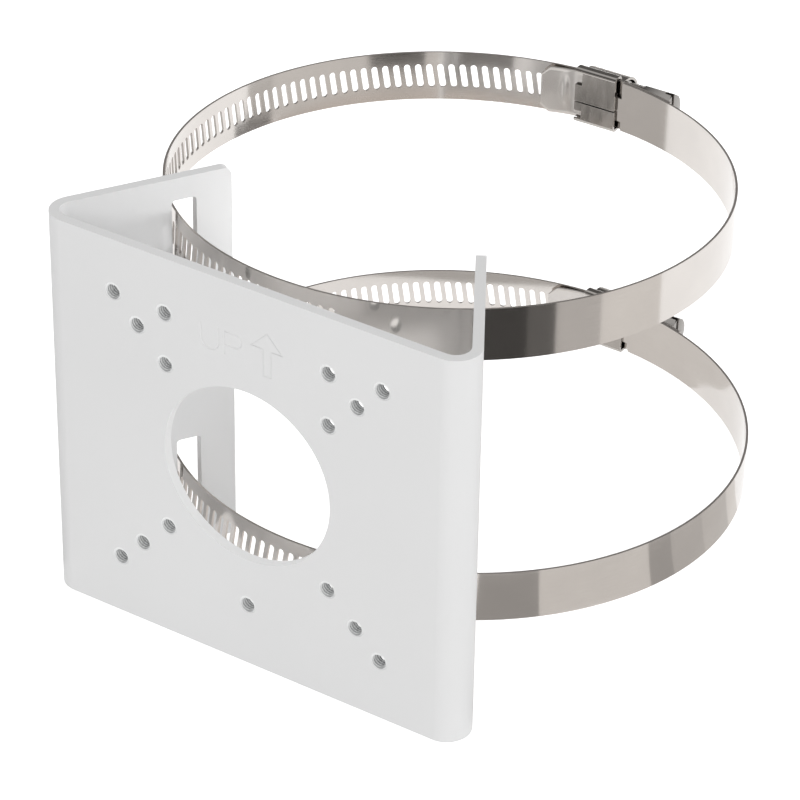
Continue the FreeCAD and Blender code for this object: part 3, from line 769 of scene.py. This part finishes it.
def true_faces(mesh, middle, divide):
    """Rolled strip is truly round: its broad faces get the arc's own normals, its cut edges
    their flat ones. Points inside the dividing radius belong to the plain arc."""
    normals = []
    for face in mesh.polygons:
        inner_arc = face.center.xy.length < divide
        for index in face.vertices:
            spoke = mesh.vertices[index].co - (middle if inner_arc else Vector())
            spoke.z = 0
            spoke.normalize()
            facing = face.normal.dot(spoke)
            broad = abs(facing) > broad_facing
            normals.append(tuple(spoke * (1 if facing > 0 else -1)) if broad else tuple(face.normal))
    mesh.normals_split_custom_set(normals)


def wound_band(side):
    """Lay a clamp's band out of runs of tiles, give it its thickness and set it in place."""
    radius = band_radius[side]
    # The plain arc has a smaller radius and its own centre, and both arcs touch at junction.
    shift = (band_thick + lap_gap) / (1 - math.cos(math.radians(junction - lap_bearing)))
    middle = shift * Vector((math.cos(math.radians(junction)), math.sin(math.radians(junction)), 0))
    step = math.degrees(hole_pitch / radius)
    first = first_hole[side]
    count = math.floor((last_hole - first) / step) + 1
    neck_half = math.degrees(neck_length / 2 / radius)
    holes_end = first + (count - 0.5) * step
    # Runs of tiles: kind, where the run starts and ends, and whether it is on the plain arc.
    runs = [
        ("plain", tail_end, first - step / 2, False),
        ("hole", first - step / 2, holes_end, False),
        ("plain", holes_end, junction, False),
        ("plain", junction - 360, neck_middle - neck_half, True),
        ("neck", neck_middle - neck_half, neck_middle + neck_half, True),
        ("plain", neck_middle + neck_half, plain_end, True),
    ]
    piece = placed(side + "_rolled_band", bpy.data.meshes.new(side + "_rolled_band"))
    for kind, start, end, plain_arc in runs:
        number = count if kind == "hole" else max(1, math.ceil((end - start) / plain_step))
        span = (end - start) / number
        lay = piece.modifiers.new("run_of_" + kind, "NODES")
        lay.node_group = wrapped_strip
        set_input(lay, "Tile", tiles[kind])
        set_input(lay, "Count", number)
        set_input(lay, "First Bearing", math.radians(start + span / 2))
        set_input(lay, "Step", math.radians(span))
        set_input(lay, "Radius", radius - shift if plain_arc else radius)
        set_input(lay, "Centre", middle if plain_arc else Vector())
        set_input(lay, "Steel", rolled)
    bake(piece)
    piece.data.materials.clear()
    piece.data.materials.append(rolled)
    piece.data.materials.append(sheared)
    piece.data.polygons.foreach_set("material_index", [0] * len(piece.data.polygons))
    wall = piece.modifiers.new("thickness", "SOLIDIFY")
    wall.thickness = band_thick
    wall.offset = -1
    wall.material_offset_rim = 1
    bake(piece)
    true_faces(piece.data, middle, radius - band_thick - lap_gap / 2)
    piece.data.transform(ring_place(side))
    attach(piece, side + "_clamp")
    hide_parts(side + "_band")


for side in ("upper", "lower"):
    wound_band(side)
for tile in tiles.values():
    bpy.data.objects.remove(tile)

# Screw housings.
# Pressed from strip and folded round both edges of the band, with two flaps that meet in a
# seam inside the ring. The flaps' corners by the saddle are notched to let it in.
housing_length = 13.0
pressed_round = 0.12
notch_depth = 2.3
notch_inside = 3.2
notch_outside = 1.05
notch_high = 3.3
notch_low = -4.6
notch_reach = 7.0
# Painted shade: the housings' steel is given a darker colour than the band's.
pressed = steel_finish("pressed_steel", (0.50, 0.475, 0.45), 0.12, along=(60, 60, 20), grain=0.012)
dark_folds = steel_finish("saddle_steel", (0.64, 0.61, 0.585), 0.2, along=(25, 25, 25))


def box_cutter(name, low, high):
    """A box between two opposite corners."""
    shape = bmesh.new()
    bmesh.ops.create_cube(shape, size=1)
    size = [b - a for a, b in zip(low, high)]
    bmesh.ops.scale(shape, vec=size, verts=shape.verts)
    bmesh.ops.translate(shape, vec=[(a + b) / 2 for a, b in zip(low, high)], verts=shape.verts)
    return placed_shape(name, shape)


for side in ("upper", "lower"):
    piece = copied_solid(side + "_housing", side + "_pressed_housing")
    inner = band_radius[side] - notch_inside
    outer = band_radius[side] - notch_outside
    for bottom, top in ((notch_high, notch_reach), (-notch_reach, notch_low)):
        cutter = box_cutter("corner_notch", (-housing_length, inner, bottom),
                            (notch_depth - housing_length / 2, outer, top))
        cutter.data.transform(ring_place(side))
        cut_away(piece, cutter)
        bake(piece)
        bpy.data.objects.remove(cutter)
    round_edges(piece, pressed_round * MM, 40)
    bake(piece, 45)
    even_faces(piece)
    piece.data.materials.clear()
    piece.data.materials.append(pressed)
    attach(piece, side + "_clamp")
    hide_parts(side + "_housing")

# Saddles.
# A loose tongue of thin strip under the band, held in the housing. Its free end has its
# corners cut off and stands a little away from the band, with one pressed crease.
saddle_start = 91.3
saddle_end = 103.0
saddle_half = 7.0
saddle_corner = 2.4
# The flare bends the free end away from the band and a little down. The crease is a shallow
# bead that fades out towards both sides.
flare = 1.3
flare_start = 95.3
flare_power = 1.5
flare_droop = 0.12
crease_bearing = 97.6
crease_width = 0.5
crease_depth = 0.25
crease_reach = 1.6
crease_fade = 3.2
columns, rows = 24, 12
for side in ("upper", "lower"):
    outside = band_radius[side] - band_thick - lap_gap
    shape = bmesh.new()
    grid = []
    for i in range(columns + 1):
        bearing = saddle_start + (saddle_end - saddle_start) * i / columns
        from_end = math.radians(saddle_end - bearing) * outside
        reach = saddle_half - max(saddle_corner - from_end, 0)
        lift = flare * max((bearing - flare_start) / (saddle_end - flare_start), 0) ** flare_power
        crease = crease_depth * math.exp(-((bearing - crease_bearing) / crease_width) ** 2)
        line = []
        for k in range(rows + 1):
            z = reach * (2 * k / rows - 1)
            r = outside - lift - crease * min(1, max(0, crease_reach - abs(z) / crease_fade))
            angle = math.radians(bearing)
            line.append(shape.verts.new((r * math.cos(angle), r * math.sin(angle),
                                         z - flare_droop * lift)))
        grid.append(line)
    for a, b in zip(grid, grid[1:]):
        for k in range(rows):
            shape.faces.new((a[k], a[k + 1], b[k + 1], b[k]))
    bmesh.ops.recalc_face_normals(shape, faces=shape.faces)
    if sum(face.normal.dot(face.calc_center_median()) for face in shape.faces) < 0:
        bmesh.ops.reverse_faces(shape, faces=shape.faces)
    piece = placed_shape(side + "_pressed_saddle", shape)
    wall = piece.modifiers.new("thickness", "SOLIDIFY")
    wall.thickness = band_thick
    wall.offset = -1
    round_edges(piece, pressed_round, 50)
    bake(piece, 45)
    piece.data.transform(ring_place(side))
    piece.data.materials.append(dark_folds)
    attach(piece, side + "_clamp")
    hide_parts(side + "_saddle")

# Worm screws.
# Turned from one bar: a worm that meshes with the band's holes, a neck in the housing's
# mouth, a ribbed collar and a slotted hexagon head. Zinc plated.
worm_length = 11.6
worm_crest = 4.6
worm_root = 3.5
groove_floor = 0.12
groove_flank = 0.16
neck_radius = 3.4
collar_from = 6.8
collar_to = 11.2
rib_radius = 4.4
rib_depth = 0.3
rib_rise, rib_fall = 0.3, 0.7
ribs = 6
head_from = 11.8
head_to = 21.0
head_across = 9.0
head_round = 0.12
low_cone, high_cone = 0.5, 0.7
past = 0.01
slot_width = 1.3
slot_depth = 2.2
slot_half_length = 7
plated = steel_finish("zinc_plate", (0.34, 0.325, 0.31), 0.16, along=(60, 60, 600))


def turned_piece(name, profile, around=48):
    """A turned solid through (height, radius) stations, where a radius may be a function of
    the angle."""
    shape = bmesh.new()
    rings = []
    for z, radius in profile:
        ring = []
        for i in range(around):
            angle = 2 * math.pi * i / around
            r = radius(angle) if callable(radius) else radius
            ring.append(shape.verts.new((r * math.cos(angle), r * math.sin(angle), z)))
        rings.append(ring)
    for low, high in zip(rings, rings[1:]):
        for i in range(around):
            j = (i + 1) % around
            shape.faces.new((low[i], low[j], high[j], high[i]))
    shape.faces.new(list(reversed(rings[0])))
    shape.faces.new(rings[-1])
    return placed_shape(name, shape)


def worm_radius(z):
    """Radius round the worm at one height: a thread with flat crests and sloping flanks,
    whose widths are shares of its pitch."""
    def radius(angle):
        phase = (z / hole_pitch - angle / (2 * math.pi)) % 1
        rise = min(max((abs(phase - 0.5) - groove_floor) / groove_flank, 0), 1)
        return worm_root + (worm_crest - worm_root) * rise
    return radius


def worm_screw(side):
    """Turn a clamp's screw, add its head, and set it in place."""
    steps = 72
    heights = [-worm_length / 2 + worm_length * i / steps for i in range(steps + 1)]
    profile = [(z, worm_radius(z)) for z in heights]
    profile += [(worm_length / 2, neck_radius), (collar_from, neck_radius),
                (collar_from, rib_radius - rib_depth)]
    rib = (collar_to - collar_from) / ribs
    for i in range(ribs):
        z = collar_from + i * rib
        profile += [(z + rib_rise * rib, rib_radius), (z + rib_fall * rib, rib_radius),
                    (z + rib, rib_radius - rib_depth)]
    profile += [(collar_to, neck_radius), (head_from + 0.05, neck_radius)]
    piece = turned_piece(side + "_plated_screw", profile)

    # Hexagon with turned ends and a screwdriver slot.
    flat = head_across / 2
    corner = flat / math.cos(math.radians(30))
    head = turned_piece("hexagon", [(head_from, corner), (head_to, corner)], around=6)
    cone = turned_piece("cone", [(head_from - past, flat), (head_from + low_cone, corner + 0.2),
                                 (head_to - high_cone, corner + 0.1), (head_to + past, flat)],
                        around=64)
    cutter = box_cutter("driver_slot", (-slot_half_length, -slot_width / 2, head_to - slot_depth),
                        (slot_half_length, slot_width / 2, head_to + slot_depth))
    cut_away(head, cone, keep="INTERSECT")
    cut_away(head, cutter)
    round_edges(head, head_round, 25)
    bake(head, 30)
    bake(piece, 35)
    both = bmesh.new()
    both.from_mesh(piece.data)
    both.from_mesh(head.data)
    both.to_mesh(piece.data)
    both.free()
    for spare in (head, cone, cutter):
        bpy.data.objects.remove(spare)

    joint = joints[side + "_screw_turn"]
    axis = Vector(joint["axis"])
    across = Vector(joints[side + "_clamp_slide_round"]["axis"])
    turn = Matrix((across, axis.cross(across), axis)).transposed()
    piece.data.transform(Matrix.Translation(joint["pos_m"]) @ turn.to_4x4() @ Matrix.Scale(MM, 4))
    piece.data.materials.clear()
    piece.data.materials.append(plated)
    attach(piece, side + "_screw")
    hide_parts(side + "_worm_screw")


for side in ("upper", "lower"):
    worm_screw(side)
